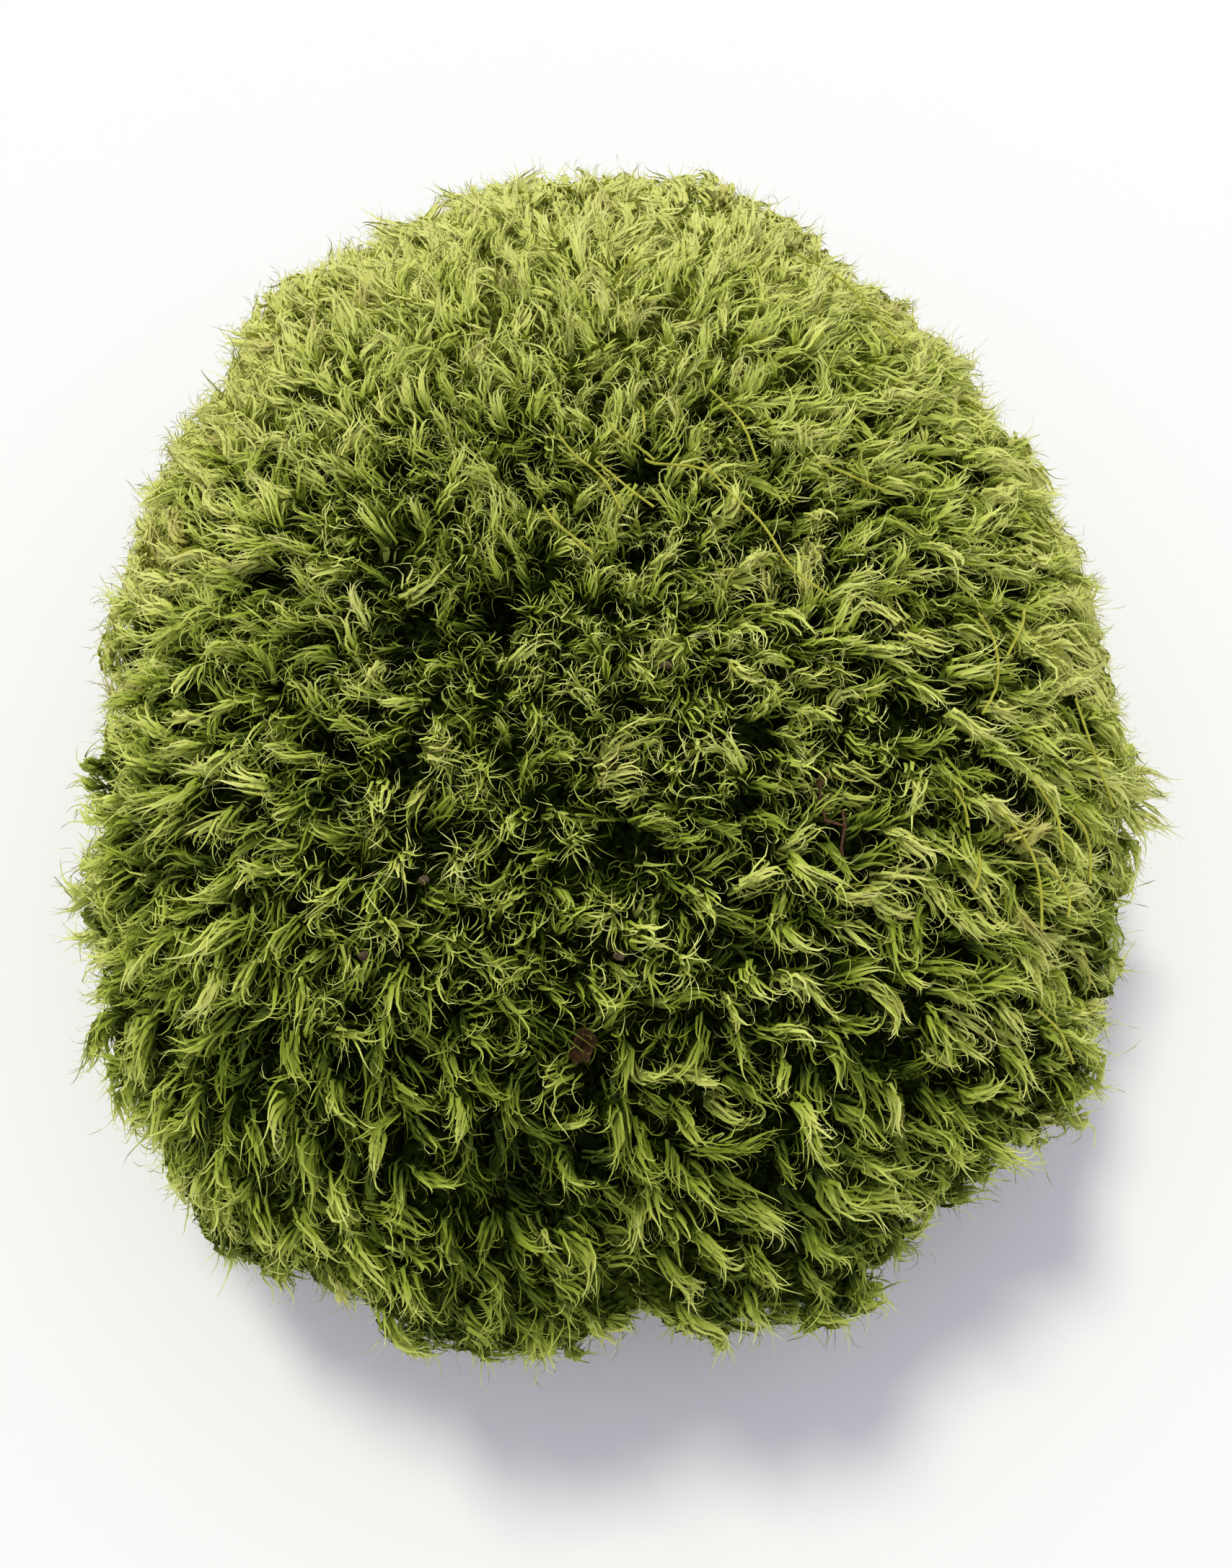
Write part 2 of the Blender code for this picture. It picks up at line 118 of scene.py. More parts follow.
# Lobes and notches that run down its side: (turn, half width in degrees, height)
LOBES = (
    (14, 4, 0.0012),
    (26, 4, 0.0008),
    (43, 6, -0.0012),
    (64, 4, -0.0012),
    (81, 6, 0.0030),
    (99, 5, 0.0011),
    (113, 4, -0.0014),
    (126, 3.5, 0.0015),
    (134, 4, -0.0026),
    (172, 3.5, -0.0032),
    (180, 3, 0.0028),
    (187, 2.5, -0.0016),
    (196, 4, 0.0016),
    (208, 4.5, -0.0024),
    (221, 3.5, -0.0036),
    (231, 3.5, 0.0026),
    (247.5, 3, -0.0018),
    (254, 3.5, 0.0015),
    (270, 3, 0.0015),
    (274.5, 3.5, -0.0030),
    (293, 3.5, 0.0040),
    (303.5, 4, -0.0023),
    (315.5, 3.5, -0.0032),
    (330, 3, -0.0026),
    (342, 3, -0.0020),
    (356, 3, 0.0012),
)
LOBES_FROM, LOBES_TO = 44.0, 122.0   # degrees of fall
LOBES_FADE = 12.0

# The shoots come in three layers: those of the solid, smaller ones between them, and short ones
# deep down. Each layer has its count, reach, depth under the tips, leaves to a shoot, leaf length
# and leaf width.
LEAF_SEED = 5
LAYERS = (
    (SHOOT_COUNT, SHOOT_REACH, 0.0, 28, 0.0063, 0.00052),
    (1750, 0.0046, 0.0012, 24, 0.0058, 0.00050),
    (1700, 0.0048, 0.0030, 8, 0.0056, 0.00062),
)
FRONT_RELIEF, BACK_RELIEF = 1.7, 0.5     # of those depths, at the blunt end and at the far one
FRONT, BACK = -0.02, 0.07                # how far behind the crown each of the two holds
SUNK_LEAST, SUNK_MORE = 0.6, 0.8         # and of each shoot, at random
BARE_BELOW = 0.0042                      # a hollow this deep has no shoots
SECTORS = 6

# Locks: the leaves of a shoot cling together. A lock is wild from 0, combed, to 1, tangled; it
# stands out from 0 to 1 on a tuft; and it is soft from 0 to 1 where it shows as a blur. The last
# word of a name, such as WILD, says what else changes the value by how much, and SPREAD is how
# much it varies from one to the next. Angles are in degrees.
FOOT_DEPTH, FOOT_DEPTH_SPUR = 0.0038, 0.6        # where the leaves start, below the head
SET_BACK, SET_BACK_WILD = 0.0026, 0.7            # and behind it, against the sweep
STEM = 0.0030                                    # the part of the stem that bears leaves
STEM_BEND = 0.3                                  # and its share of the lock's bend
FULL_SPUR = 0.004                                # a lock on a tuft this high stands out fully
CALM_STAND = 0.7                                 # and swings and curls this much less
SWING, SWING_WILD = 0.22, 1.3                    # to either side of the sweep, in radians
FIRST_BEND, FIRST_BEND_SPREAD = 14, 6            # from the normal, at the foot
LAST_BEND, LAST_BEND_WILD, LAST_BEND_STAND = 88, 40, 62
LAST_BEND_SPREAD, LAST_BEND_SPREAD_WILD = 6, 22
BENT_BY = 0.0044                                 # a lock has its last bend from here on
CURL, CURL_WILD = 38, 60                         # sideways
CURL_FROM, CURL_LENGTH, CURL_MOST, CURL_POWER = 0.002, 0.0085, 1.2, 1.4
TWIST, TWIST_LENGTH = 1.6, 0.010                 # of its leaves round it, in radians
OPENNESS_SPREAD = 0.20
SIZE_SPREAD, SIZE_SPUR = 0.13, 60
WAVE, WAVE_LENGTH = 20, 0.0085                   # locks wave sideways a little

# Leaves of a lock, in their order from 0 at its foot to 1 at its top. A stray leaf is one that
# leaves its lock. Angles are in degrees, and steps go from 0 at a leaf's foot to 1 at its tip.
LEAF_STEPS = (0, 0.28, 0.49, 0.63, 0.76, 0.88, 1.0)
STRAY, STRAY_WILD, STRAY_RIM, STRAY_SOFT = 0.22, 0.16, 0.5, 0.6
CROWDED_TOP = 0.45                               # more leaves on a lock's upper side
LENGTH, LENGTH_ORDER, LENGTH_SPREAD = 0.95, 0.12, 0.09   # times its layer's leaf length
LENGTH_WILD, LENGTH_STRAY = 0.10, 0.10
OPENING, OPENING_ORDER, OPENING_SPREAD = 86, 56, 10      # away from its lock, near the foot
OPEN_UNTIL = 0.42
CLOSING, CLOSING_WILD, CLOSING_SPREAD = 19, 15, 5        # and back towards it
CLOSING_STRAY, CLOSING_STAND = -0.3, 0.5
CLOSING_STEPS, CLOSING_SHARES = (0.25, 0.55, 0.9), (0, 1, 0)
HOOK, HOOK_WILD, HOOK_SPREAD, HOOK_STRAY = 90, 72, 38, 55
HOOK_SOFT, HOOK_STAND = 0.3, 0.6
HOOK_TURN = 1.2                                  # radians
HOOK_POWER = 1.2
HOOK_FROM, HOOK_FROM_WILD, HOOK_FROM_STRAY, HOOK_FROM_SPREAD = 0.46, 0.10, 0.22, 0.06
FACE, FACE_TWIST = 0.5, 0.9                      # how far a blade turns edge on, in radians
WIDTH_LEAST, WIDTH_MORE, WIDTH_STRAY, WIDTH_WILD = 0.8, 0.4, 0.6, 0.25
TAPER_STEPS = (0, 0.15, 0.4, 0.56, 0.76, 1.0)
TAPER_SHARES = (0.80, 1.0, 0.86, 0.43, 0.27, 0.0)
LOCK_SMOOTH, LOCK_SMOOTH_SOFT = 0.6, 0.3         # how far it is shaded as its lock's round body
LOCK_FACES_OUT, LOCK_FACES_OUT_SOFT = 0.5, 1.2
EDGE_ON_GAIN = 4
GROUND_GAP, GROUND_SPREAD = 0.00035, 0.0006

# What lies on the moss presses the leaves down
EDGE_SHARES = (0.0, 0.2, 0.4, 0.6, 0.8, 1.0)     # points taken along each edge of it
LAID_SPACING = 0.00045
PRESS_WITHIN = 0.0013                            # how far to its sides it presses
PRESS_UNDER = 0.00030                            # how far under it the leaves go
PRESS_FLAT, PRESS_SLOPE = 0.0004, 1.3            # further aside than this they may rise again
PRESS_FROM = 0.0026                              # leaves that rise further over it are left
LOOKUP_SPAN = 4096                               # cells each way in the lookup of what is near
LOOKUP_BLOCK = 2000                              # points handled at a time

# A smooth noise is a sum of waves in random directions
NOISE_WAVES = 7
NOISE_LEAST, NOISE_MOST = 0.6, 1.5               # periods over the length that is asked for
NOISE_SCALE = 2.6

# Colour: a leaf's tone goes from 0, the darkest old green, to 1, dry straw, and its ripeness and
# painted shade from 0 for dark feet and deep leaves, their darkness partly painted shade, to 1 for
# pale tips
SHADE_DEPTH = 0.0049                             # a leaf this far down is as dark as its foot, painted shade
RIPE_AND_SHADE_STEP, DEPTH_SHADE_SHARE = 0.40, 0.60               # for nearness to its tip, its darker foot partly painted shade; and painted shade for lying deep
SOFT_LIGHT_LEVEL, SOFT_LIGHT_PULL = 0.80, 0.75           # soft leaves are drawn towards this even painted light, losing their painted shade
LEAF_TONE, LEAF_TONE_ORDER, LEAF_TONE_STRAY, LEAF_TONE_SOFT = 0.08, 0.10, 0.12, 0.5
LEAST_TONE, MOST_TONE = 0.02, 0.98
TONE_BAND = 0.008                                # half a leaf's width on the map
MAP_FROM, MAP_SPAN = 0.01, 0.98                  # the part of the map that ripeness and painted shade take
FRESH_OVER, PALE_OVER, DRY_OVER = (0.05, 0.45), (0.50, 0.78), (0.84, 0.94)       # tones
FAR_END, NEAREST = 0.100, -0.7                   # its distance behind the crown; least share
RIM_FROM, RIM_OVER = 0.55, 0.6                   # radians of fall
TONE = 0.33
TONE_PATCHES = ((0.05, 0.045, 3), (0.06, 0.014, 4))      # (tone, length, seed)
# Painted light: paler towards the far end and on the sides; darker towards the near end
TONE_FAR, TONE_FAR_POWER, TONE_NEAR = 0.56, 1.3, 0.15
TONE_RIM, TONE_RIM_LEAST, TONE_RIM_FAR = 0.28, 0.75, 1.1
SOFT_RIM, SOFT_RIM_LEAST, SOFT_RIM_FAR = 0.6, 0.6, 1.2
LOCK_TONE, LOCK_TONE_SOFT, LOCK_TONE_WILD = 0.15, 0.7, 0.2
TONE_SHARP = 0.065                               # where it isn't soft
# painted light: locks on tufts that stand out are paler
TONE_SPUR = 0.20
TONE_CAP = 0.80                                  # before the old and the dried locks
OLD_LOCKS, TONE_OLD, OLD_SPUR = 0.02, 0.30, 0.0005       # a few locks are drier, not on tufts
TONE_LAYER = 0.06                                # painted shade: darker by this for each layer down
TONE_DRY = 0.90                                  # dried locks have at least this
WILD, WILD_CURLY, WILD_SPREAD = 0.12, 0.88, 0.12
# Dried locks, as (turn, fall, radius); paler and darker patches, as (turn, fall, radius, tone);
# and patches where the locks are tangled, as (turn, fall, radius, share)
DRY_LOCKS = (
    (272.1, 14.3, 0.0030),
    (248.7, 19.3, 0.0022),
    (255.7, 18.7, 0.0022),
    (52, 62, 0.0060),
    (30, 24, 0.0022),
)
PALER = (
    (335, 28, 0.030, 0.18),
    (270, 14, 0.020, 0.08),
    (145, 50, 0.030, 0.10),
    (215, 75, 0.020, 0.08),
    (5, 62, 0.028, 0.12),
    (42, 47, 0.020, -0.11),
    (331, 61, 0.012, 0.20),
)
CURLY = (
    (250, 6, 0.034, 1.0),
    (95, 20, 0.030, 0.8),
    (140, 40, 0.030, 0.4),
)

# The thatch under the leaves
CORE_DEPTH = 0.0058
CORE_TURNS = 110
CORE_FALLS = 46
CORE_TOP = 0.02                                          # radians of fall
CORE_HOLLOWS = 0.9
CORE_NOISES = ((0.0007, 0.004, 8), (0.0005, 0.0018, 9))  # (height, length, seed)
SIDE_FROM, SIDE_OVER, SIDE_SHALLOWER = 45, 40, 0.42      # degrees of fall
FOOT_FROM, FOOT_SHALLOWER = 118, 0.65
CORE_SHARP = 60                                          # degrees
CORE_GREEN_OVER = (0.048, 0.022)                         # heights over which it turns greener, painted light
CORE_PALE_OVER = (0.010, 0.085)                          # and places along Y where it pales, painted light

# Litter: crumbs between the shoots, as (turn, fall, radius)
CRUMBS = (
    (274.5, 29.4, 0.00052),
    (324.6, 6.8, 0.00055),
    (238.7, 25.3, 0.00050),
    (237.3, 33.5, 0.00055),
    (16.2, 31.4, 0.00060),
    (324.0, 25.2, 0.00050),
)
CRUMB_DEPTH = 0.0019
CRUMB_SHAPE = (1.15, 0.9, 0.75)
CRUMB_WAVES, CRUMB_UNEVEN = 2.6, 0.05
CRUMB_OFF = 0.0004       # from the bun to the point that presses the leaves down over a crumb

# The studio
FLOOR_COLOUR = (0.905, 0.905, 0.91, 1.0)
FLOOR_RADII = (0.0, 0.4, 1.2)                    # of the rings of its flat part
FLOOR_CURVE = 0.5                                # radius of the curve beyond them
FLOOR_ANGLES = range(9, 91, 9)                   # of the rings up that curve, in degrees
FLOOR_SIDES = 96
SKY_COLOUR, SKY_STRENGTH = (0.877, 0.863, 1.0, 1.0), 0.73
SUN_COLOUR, SUN_STRENGTH, SUN_ANGLE = (0.978, 1.0, 0.778), 1.667, 14
SUN_TILT, SUN_TURN = -29, 28

# The camera of the photograph, over the crown
CAMERA_ELEVATION = 64.0
CAMERA_DISTANCE = 0.166
CAMERA_TARGET_HEIGHT = 0.0272
CAMERA_SIDE = 0.0024
PHOTO_HEIGHT = 2173
FOCAL_PIXELS = 1700.0
SENSOR_WIDTH = 36.0


def plan_radius(turn):
    """Radius of the waist, seen from above, in the direction turn."""
    egg = EGG * np.sin(turn) - LENGTHEN * np.cos(2 * turn)
    return MEAN_RADIUS * (1 + egg + SIDE_LEAN * np.cos(3 * turn) - BACK_TAPER * np.sin(3 * turn))


def bun(turn, fall):
    """Points of the smooth bun, for angles in radians."""
    out = plan_radius(turn) * np.sin(fall) ** FULLNESS
    drop = np.cos(fall)
    over = (HEIGHT - WAIST_HEIGHT) * np.abs(drop) ** FULLNESS
    height = WAIST_HEIGHT + np.where(drop > 0, over, UNDER * drop)
    return np.stack([CROWN[0] + out * np.cos(turn), CROWN[1] + out * np.sin(turn), height], axis=-1)


def onto_bun(points):
    """The (turn, fall) of the bun's points nearest to these, close enough for small moves."""
    across, along = points[:, 0] - CROWN[0], points[:, 1] - CROWN[1]
    turn = np.arctan2(along, across)
    out = (np.hypot(across, along) / plan_radius(turn)) ** (1 / FULLNESS)
    rise = points[:, 2] - WAIST_HEIGHT
    over = np.abs(rise / (HEIGHT - WAIST_HEIGHT)) ** (1 / FULLNESS)
    return turn, np.arctan2(out, np.where(rise > 0, over, rise / UNDER))


def bun_normal(turn, fall):
    """Outward unit normals of the bun."""
    round_it = bun(turn + SMALL_ANGLE, fall) - bun(turn - SMALL_ANGLE, fall)
    down_it = bun(turn, fall + SMALL_ANGLE) - bun(turn, np.maximum(fall - SMALL_ANGLE, 1e-6))
    return unit(np.cross(down_it, round_it))


def foot_fall():
    """The fall angle at which the bun meets the ground, in radians."""
    return math.pi - math.acos(math.sqrt(1 - FOOT_SHARE ** 2))


def place(turn_degrees, fall_degrees):
    """A point of the bun and its normal there."""
    turn, fall = np.radians([turn_degrees]), np.radians([fall_degrees])
    return bun(turn, fall)[0], bun_normal(turn, fall)[0]


def unit(vectors):
    return vectors / np.maximum(np.linalg.norm(vectors, axis=-1, keepdims=True), 1e-20)


def scatter_shoots(rng, count):
    """Draws the shoots' angles evenly over the bun's area."""
    turns = np.radians(np.arange(0.5, 360, 1))
    falls = np.radians(np.arange(0.5, LAST_FALL, 1))
    turn, fall = (grid.ravel() for grid in np.meshgrid(turns, falls))
    round_it = bun(turn + SMALL_ANGLE, fall) - bun(turn - SMALL_ANGLE, fall)
    down_it = bun(turn, fall + SMALL_ANGLE) - bun(turn, fall - SMALL_ANGLE)
    area = np.linalg.norm(np.cross(round_it, down_it), axis=1)
    chosen = rng.choice(len(area), count, replace=False, p=area / area.sum())
    return turn[chosen], fall[chosen]


def settle_shoots(turn, fall, fixed, reach):
    """Lets the shoots push each other apart until they stand about evenly."""
    for _ in range(SETTLE_STEPS):
        points = bun(turn, fall)
        others = np.concatenate([points, fixed])
        squares = (points ** 2).sum(axis=1)[:, None] + (others ** 2).sum(axis=1)
        distance = np.sqrt(np.maximum(squares - 2 * points @ others.T, 0))
        np.fill_diagonal(distance, reach)
        crowding = np.clip(1 - distance / reach, 0, None) / (distance + 1e-9)
        push = points * crowding.sum(axis=1, keepdims=True) - crowding @ others
        points = points + SETTLE_RATE * push
        turn, fall = onto_bun(points)
        fall = np.minimum(fall, math.radians(LAST_FALL))
    return turn, fall


def near_place(points, turn, fall, radius):
    """From 1 for a point at the place to 0 far from it."""
    centre, _ = place(turn, fall)
    return np.exp(-(np.linalg.norm(points - centre, axis=1) / radius) ** 2)


def bumps(points, table):
    """Height of the round bumps that a table of (turn, fall, radius, height) puts at each point."""
    height = np.zeros(len(points))
    for turn, fall, radius, most in table:
        height += most * near_place(points, turn, fall, radius)
    return height


def lobes(points):
    """Height of the side's lobes and notches at each point."""
    turn, fall = (np.degrees(angle) for angle in onto_bun(points))
    height = np.zeros(len(points))
    for middle, half_width, most in LOBES:
        aside = (turn - middle + 180) % 360 - 180
        height += most * np.exp(-(aside / half_width) ** 2)
    inside = np.minimum(fall - LOBES_FROM, LOBES_TO - fall) / LOBES_FADE
    return height * np.clip(inside, 0, 1)


def lumps(points):
    """Height of the cushion's gentle swells at each point, as in the solids."""
    x, y, z = (points * (2 * math.pi / LUMP_LENGTH)).T
    swell = np.sin(x + 0.7 * y + 0.4) * np.cos(0.8 * y - 0.5 * z)
    swell += 0.6 * np.sin(1.7 * x - 1.3 * y + 2.0)
    return LUMP_HEIGHT * swell + bumps(points, SWELLS) + lobes(points)


def sweep(points, normals):
    """The way that a shoot at each point hangs over, along the surface: outward and down."""
    out = points - np.array([CROWN[0], CROWN[1], 0.0])
    out[:, 2] = 0
    far = np.linalg.norm(out, axis=1, keepdims=True)
    way = out / (far + UPRIGHT_WITHIN)
    x, y = out[:, :2].T / DRIFT_SPAN
    way[:, :2] += (np.array(DRIFT) @ np.stack([np.ones_like(x), x, y, x * x, x * y, y * y])).T
    way[:, 2] -= DROOP * np.minimum(far[:, 0] / DROOP_FROM, 1)
    way -= normals * (way * normals).sum(axis=1, keepdims=True)
    length = np.linalg.norm(way, axis=1, keepdims=True)
    return way / np.maximum(length, LEAST_SWEEP)


def grow_shoots():
    """The solid's own shoots and the layers between them: where each ends, its normal and sweep."""
    rng = np.random.default_rng(SEED)
    rim_turn = np.radians(np.arange(RIM_COUNT) * 360 / RIM_COUNT)
    rim = bun(rim_turn, np.full(RIM_COUNT, foot_fall()))
    rim[:, 2] = 0
    turn, fall = settle_shoots(*scatter_shoots(rng, SHOOT_COUNT), rim, SHOOT_REACH)
    sink = SHORTFALL * rng.random(SHOOT_COUNT)
    layer = np.zeros(SHOOT_COUNT, dtype=int)

    rng = np.random.default_rng(LEAF_SEED)
    for number, (count, reach, depth, *_) in enumerate(LAYERS[1:], start=1):
        fixed = np.concatenate([bun(turn, fall), rim]) if number == 1 else rim
        more_turn, more_fall = settle_shoots(*scatter_shoots(rng, count), fixed, reach)
        turn, fall = np.concatenate([turn, more_turn]), np.concatenate([fall, more_fall])
        behind = bun(more_turn, more_fall)[:, 1] - CROWN[1]
        relief = np.interp(behind, [FRONT, BACK], [FRONT_RELIEF, BACK_RELIEF])
        uneven = SUNK_LEAST + SUNK_MORE * rng.random(count)
        sink = np.concatenate([sink, depth * relief * uneven])
        layer = np.concatenate([layer, np.full(count, number)])
    roots, normals = bun(turn, fall), bun_normal(turn, fall)
    hollow, spur = bumps(roots, HOLLOWS), bumps(roots, SPURS)
    height = lumps(roots) - hollow + spur - sink
    shoots = {
        "heads": roots + normals * height[:, None],
        "normals": normals,
        "turn": turn,
        "fall": fall,
        "way": sweep(roots, normals),
        "layer": layer,
        "sunk": sink + hollow,
        "spur": spur,
    }
    kept = hollow < BARE_BELOW
    return {name: values[kept] for name, values in shoots.items()}


def patch_noise(points, length, seed):
    """A smooth noise of about -1 to 1 that changes over this length."""
    rng = np.random.default_rng(seed)
    total = np.zeros(len(points))
    for _ in range(NOISE_WAVES):
        direction = unit(rng.normal(size=3)) * (2 * math.pi / length)
        direction = direction * rng.uniform(NOISE_LEAST, NOISE_MOST)
        total += np.sin(points @ direction + rng.uniform(0, 2 * math.pi))
    return total / NOISE_SCALE


def points_along(solid):
    """Corners of a solid that stays, and points between them along its edges."""
    corners = np.array([solid.matrix_world @ corner.co for corner in solid.data.vertices])
    edges = np.array([edge.vertices[:] for edge in solid.data.edges])
    first, last = corners[edges[:, 0]], corners[edges[:, 1]]
    points = np.concatenate([first * (1 - share) + last * share for share in EDGE_SHARES])
    cells = np.floor(points / LAID_SPACING).astype(int)
    _, kept = np.unique(cells, axis=0, return_index=True)
    return points[kept]


def cell_number(x, y, z):
    """One number for each cell of the lookup."""
    return ((x + LOOKUP_SPAN // 2) * LOOKUP_SPAN + y + LOOKUP_SPAN // 2) * LOOKUP_SPAN + z


def press_under(path, laid):
    """Lowers the leaves that would cross over something that lies on the moss."""
    near = {(x + i, y + j, z + k) for x, y, z in np.floor(laid / PRESS_WITHIN).astype(int)
            for i in (-1, 0, 1) for j in (-1, 0, 1) for k in (-2, -1, 0, 1, 2)}
    spots = path.reshape(-1, 3)
    cells = cell_number(*np.floor(spots / PRESS_WITHIN).astype(int).T)
    found = np.nonzero(np.isin(cells, np.array([cell_number(*cell) for cell in near])))[0]
    normals = bun_normal(*onto_bun(laid))
    for block in np.array_split(found, max(1, len(found) // LOOKUP_BLOCK)):
        offset = spots[block][:, None] - laid[None]
        rise = (offset * normals[None]).sum(axis=-1)
        aside = np.sqrt(np.maximum((offset ** 2).sum(axis=-1) - rise ** 2, 0))
        allowed = -PRESS_UNDER + np.clip(aside - PRESS_FLAT, 0, None) * PRESS_SLOPE
        too_high = np.where((aside < PRESS_WITHIN) & (rise < PRESS_FROM), rise - allowed, 0)
        worst = too_high.argmax(axis=1)
        lower = np.maximum(too_high[np.arange(len(block)), worst], 0)
        spots[block] -= normals[worst] * lower[:, None]
    return spots.reshape(path.shape)


def grow_leaves(shoots, chosen, rng, laid):
    """Centre lines, half-width vectors, shading and map places of the chosen shoots' leaves.

    A shoot's leaves cling together as one lock. It rises, bends over along the cushion and curls.
    A leaf opens away from the lock's middle line, closes up again, and its hair tip hooks out.
    """
    layer = shoots["layer"][chosen]
    _, _, _, tallies, lengths, widths = (np.array(column) for column in zip(*LAYERS))
    tally = tallies[layer]
    lock = np.repeat(np.arange(len(chosen)), tally)
    first = np.repeat(np.cumsum(tally) - tally, tally)
    order = (np.arange(len(lock)) - first + 0.5) / tally[lock]
    locks, leaves = len(chosen), len(lock)
    head, normal = shoots["heads"][chosen], shoots["normals"][chosen]
    wild, spur, rim = shoots["wild"][chosen], shoots["spur"][chosen], shoots["rim"][chosen]
    stand = np.clip(spur / FULL_SPUR, 0, 1)
    soft = shoots["soft"][chosen][lock]
    way = unit(shoots["way"][chosen] + 1e-6)

    # The locks
    calm = 1 - CALM_STAND * stand
    swing = rng.normal(size=locks) * (SWING + SWING_WILD * wild) * calm
    side = np.cross(normal, way)
    along = way * np.cos(swing)[:, None] + side * np.sin(swing)[:, None]
    beside = np.cross(normal, along)
    first_bend = np.radians(FIRST_BEND + FIRST_BEND_SPREAD * rng.normal(size=locks))
    last_bend = LAST_BEND - LAST_BEND_WILD * wild - LAST_BEND_STAND * stand
    bend_spread = LAST_BEND_SPREAD + LAST_BEND_SPREAD_WILD * wild
    last_bend = np.radians(last_bend + rng.normal(size=locks) * bend_spread)
    lock_curl = np.radians(rng.normal(size=locks) * (CURL + CURL_WILD * wild)) * calm
    twist = rng.normal(size=locks) * TWIST
    openness = 1 + OPENNESS_SPREAD * rng.normal(size=locks)
    size = 1 + SIZE_SPREAD * rng.normal(size=locks) + SIZE_SPUR * spur
    wave = np.radians(rng.normal(size=locks) * WAVE)
    wave_start = rng.uniform(0, 2 * math.pi, locks)
    foot = head - normal * (FOOT_DEPTH + FOOT_DEPTH_SPUR * spur)[:, None]
    foot = foot - along * SET_BACK * (1 - SET_BACK_WILD * wild)[:, None]

    # The leaves of each
    stray_share = (STRAY + STRAY_WILD * wild) * (1 - STRAY_RIM * rim) * (1 - stand)
    stray = rng.random(leaves) < stray_share[lock] * (1 - STRAY_SOFT * soft)
    azimuth = rng.uniform(0, 2 * math.pi, leaves)
    azimuth -= CROWDED_TOP * np.sin(azimuth)
    length = lengths[layer][lock] * (LENGTH + LENGTH_ORDER * order)
    length = length * (1 + LENGTH_SPREAD * rng.normal(size=leaves))
    length *= size[lock] * (1 - LENGTH_WILD * wild[lock]) * (1 + LENGTH_STRAY * stray)
    opening = OPENING - OPENING_ORDER * order + rng.normal(size=leaves) * OPENING_SPREAD
    opening = np.radians(opening) * openness[lock]
    closing = CLOSING - CLOSING_WILD * wild[lock] + CLOSING_SPREAD * rng.normal(size=leaves)
    closing = np.radians(closing)
    closing = closing * np.where(stray, CLOSING_STRAY, 1.0 + CLOSING_STAND * stand[lock])
    hook = HOOK + HOOK_WILD * wild[lock] + rng.normal(size=leaves) * HOOK_SPREAD
    hook = np.radians(hook + stray * HOOK_STRAY)
    hook *= (1 - HOOK_SOFT * soft) * (1 - HOOK_STAND * stand[lock])
    hook_turn = rng.normal(size=leaves) * HOOK_TURN
    hook_from = np.where(stray, HOOK_FROM_STRAY, HOOK_FROM - HOOK_FROM_WILD * wild[lock])
    hook_from = hook_from + HOOK_FROM_SPREAD * rng.normal(size=leaves)
    start = STEM * order

    def frame_at(steps):
        """Each leaf's direction at steps, with the ways round it, out of it and out of its lock."""
        reach = start[:, None] + length[:, None] * steps
        over = np.clip(reach / BENT_BY, 0, 1)
        more_bend = (last_bend - first_bend)[lock][:, None]
        bend = first_bend[lock][:, None] + more_bend * over * over * (3 - 2 * over)
        curled = np.clip((reach - CURL_FROM) / CURL_LENGTH, 0, CURL_MOST) ** CURL_POWER
        waved = np.sin(2 * math.pi * reach / WAVE_LENGTH + wave_start[lock][:, None])
        slip = lock_curl[lock][:, None] * curled + wave[lock][:, None] * waved
        cos_bend, sin_bend = np.cos(bend)[..., None], np.sin(bend)[..., None]
        up = normal[lock][:, None] * sin_bend - along[lock][:, None] * cos_bend
        plane = normal[lock][:, None] * cos_bend + along[lock][:, None] * sin_bend
        sideways = beside[lock][:, None]
        cos_slip, sin_slip = np.cos(slip)[..., None], np.sin(slip)[..., None]
        tangent = plane * cos_slip + sideways * sin_slip
        across = sideways * cos_slip - plane * sin_slip
        turned = azimuth[:, None] + twist[lock][:, None] * reach / TWIST_LENGTH
        radial = up * np.cos(turned)[..., None] + across * np.sin(turned)[..., None]
        around = np.cross(tangent, radial)
        open_part = opening[:, None] * np.clip(1 - steps / OPEN_UNTIL, 0, 1)
        close_part = closing[:, None] * np.interp(steps, CLOSING_STEPS, CLOSING_SHARES)
        lean = (open_part - close_part)[..., None]
        own = tangent * np.cos(lean) + radial * np.sin(lean)
        outward = radial * np.cos(lean) - tangent * np.sin(lean)
        past = (steps - hook_from[:, None]) / (1 - hook_from[:, None])
        hooked = (hook[:, None] * np.clip(past, 0, 1) ** HOOK_POWER)[..., None]
        cos_turn, sin_turn = np.cos(hook_turn)[:, None, None], np.sin(hook_turn)[:, None, None]
        pull = outward * cos_turn + around * sin_turn
        return own * np.cos(hooked) + pull * np.sin(hooked), around, outward, radial

    steps = np.array(LEAF_STEPS)
    stride = np.diff(steps)[None, :, None] * length[:, None, None]
    own, _, _, _ = frame_at((steps[1:] + steps[:-1]) / 2)
    stem_bend = first_bend[lock] + STEM_BEND * (last_bend - first_bend)[lock] * order
    stem_way = normal[lock] * np.cos(stem_bend)[:, None] + along[lock] * np.sin(stem_bend)[:, None]
    leaf_foot = (foot[lock] + stem_way * start[:, None])[:, None]
    path = np.concatenate([leaf_foot, leaf_foot + np.cumsum(own * stride, axis=1)], axis=1)

